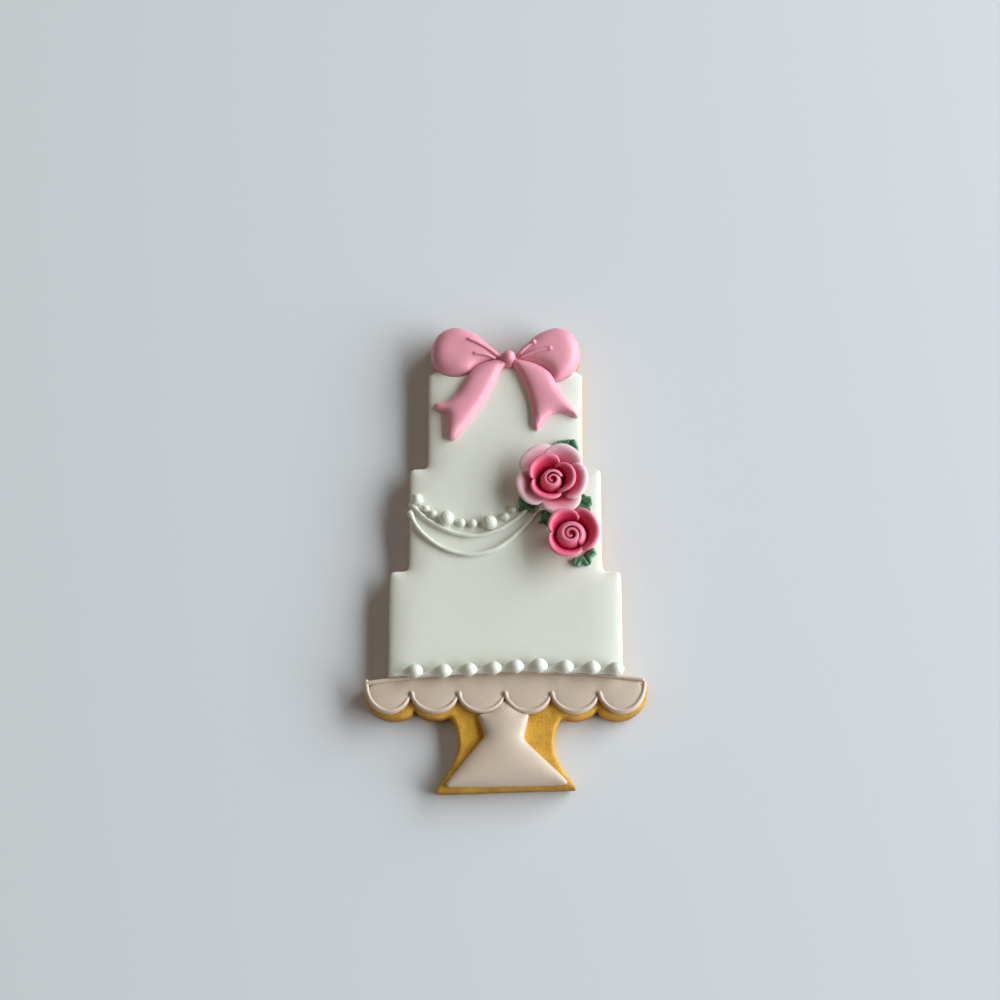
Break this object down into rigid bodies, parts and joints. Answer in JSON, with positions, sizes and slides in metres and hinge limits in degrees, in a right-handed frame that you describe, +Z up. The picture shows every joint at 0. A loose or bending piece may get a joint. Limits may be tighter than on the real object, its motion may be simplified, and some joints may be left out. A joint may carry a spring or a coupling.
{
  "type": "iced sugar cookie",
  "caption": "Tiered wedding-cake sugar cookie on a scalloped stand, flooded with white icing, with a pink bow, piped pearls, swags and two roses.",
  "frame": {"origin": "middle of the cookie's length and width, on the surface that it lies on", "axes": "+Y from the cake stand's foot to the bow, +X to the right seen from above, +Z up out of the iced side"},
  "size_m": [0.0712, 0.1264, 0.0127],
  "materials": {
    "biscuit": "matte, golden baked crumb, browner at the edge",
    "white_icing": "satin royal icing",
    "stand_icing": "satin royal icing, warm beige",
    "bow_icing": "satin royal icing, rose pink",
    "rose_blush": "matte sugar petals, pale at the rims",
    "rose_deep": "matte sugar petals, paler at the rims",
    "leaf_icing": "satin piped icing, leaf green"
  },
  "bodies": {
    "root": {"bead_1": "white_icing", "bead_2": "white_icing", "bead_3": "white_icing", "bead_4": "white_icing", "bead_5": "white_icing", "bead_6": "white_icing", "bead_7": "white_icing", "bead_8": "white_icing", "bead_9": "white_icing", "biscuit": "biscuit", "bow_crease_1": "bow_icing", "bow_crease_2": "bow_icing", "bow_crease_3": "bow_icing", "bow_crease_4": "bow_icing", "bow_knot": "bow_icing", "bow_loop_left": "bow_icing", "bow_loop_right": "bow_icing", "bow_tail_left": "bow_icing", "bow_tail_right": "bow_icing", "icing_pedestal": "stand_icing", "icing_plate": "stand_icing", "icing_tiers": "white_icing", "leaf_1": "leaf_icing", "leaf_2": "leaf_icing", "leaf_3": "leaf_icing", "leaf_4": "leaf_icing", "leaf_5": "leaf_icing", "pearl_1": "white_icing", "pearl_2": "white_icing", "pearl_3": "white_icing", "pearl_4": "white_icing", "pearl_5": "white_icing", "pearl_6": "white_icing", "pearl_7": "white_icing", "pearl_8": "white_icing", "pearl_9": "white_icing", "plate_line": "stand_icing", "rose_large_heart": "rose_deep", "rose_large_inner_petal_1": "rose_deep", "rose_large_inner_petal_2": "rose_deep", "rose_large_inner_petal_3": "rose_deep", "rose_large_outer_petal_1": "rose_blush", "rose_large_outer_petal_2": "rose_blush", "rose_large_outer_petal_3": "rose_blush", "rose_large_outer_petal_4": "rose_blush", "rose_large_outer_petal_5": "rose_blush", "rose_small_heart": "rose_deep", "rose_small_petal_1": "rose_deep", "rose_small_petal_2": "rose_deep", "rose_small_petal_3": "rose_deep", "scallop_line_1": "stand_icing", "scallop_line_2": "stand_icing", "scallop_line_3": "stand_icing", "scallop_line_4": "stand_icing", "scallop_line_5": "stand_icing", "scallop_line_6": "stand_icing", "swag_lower": "white_icing", "swag_upper": "white_icing"}
  },
  "joints": []
}
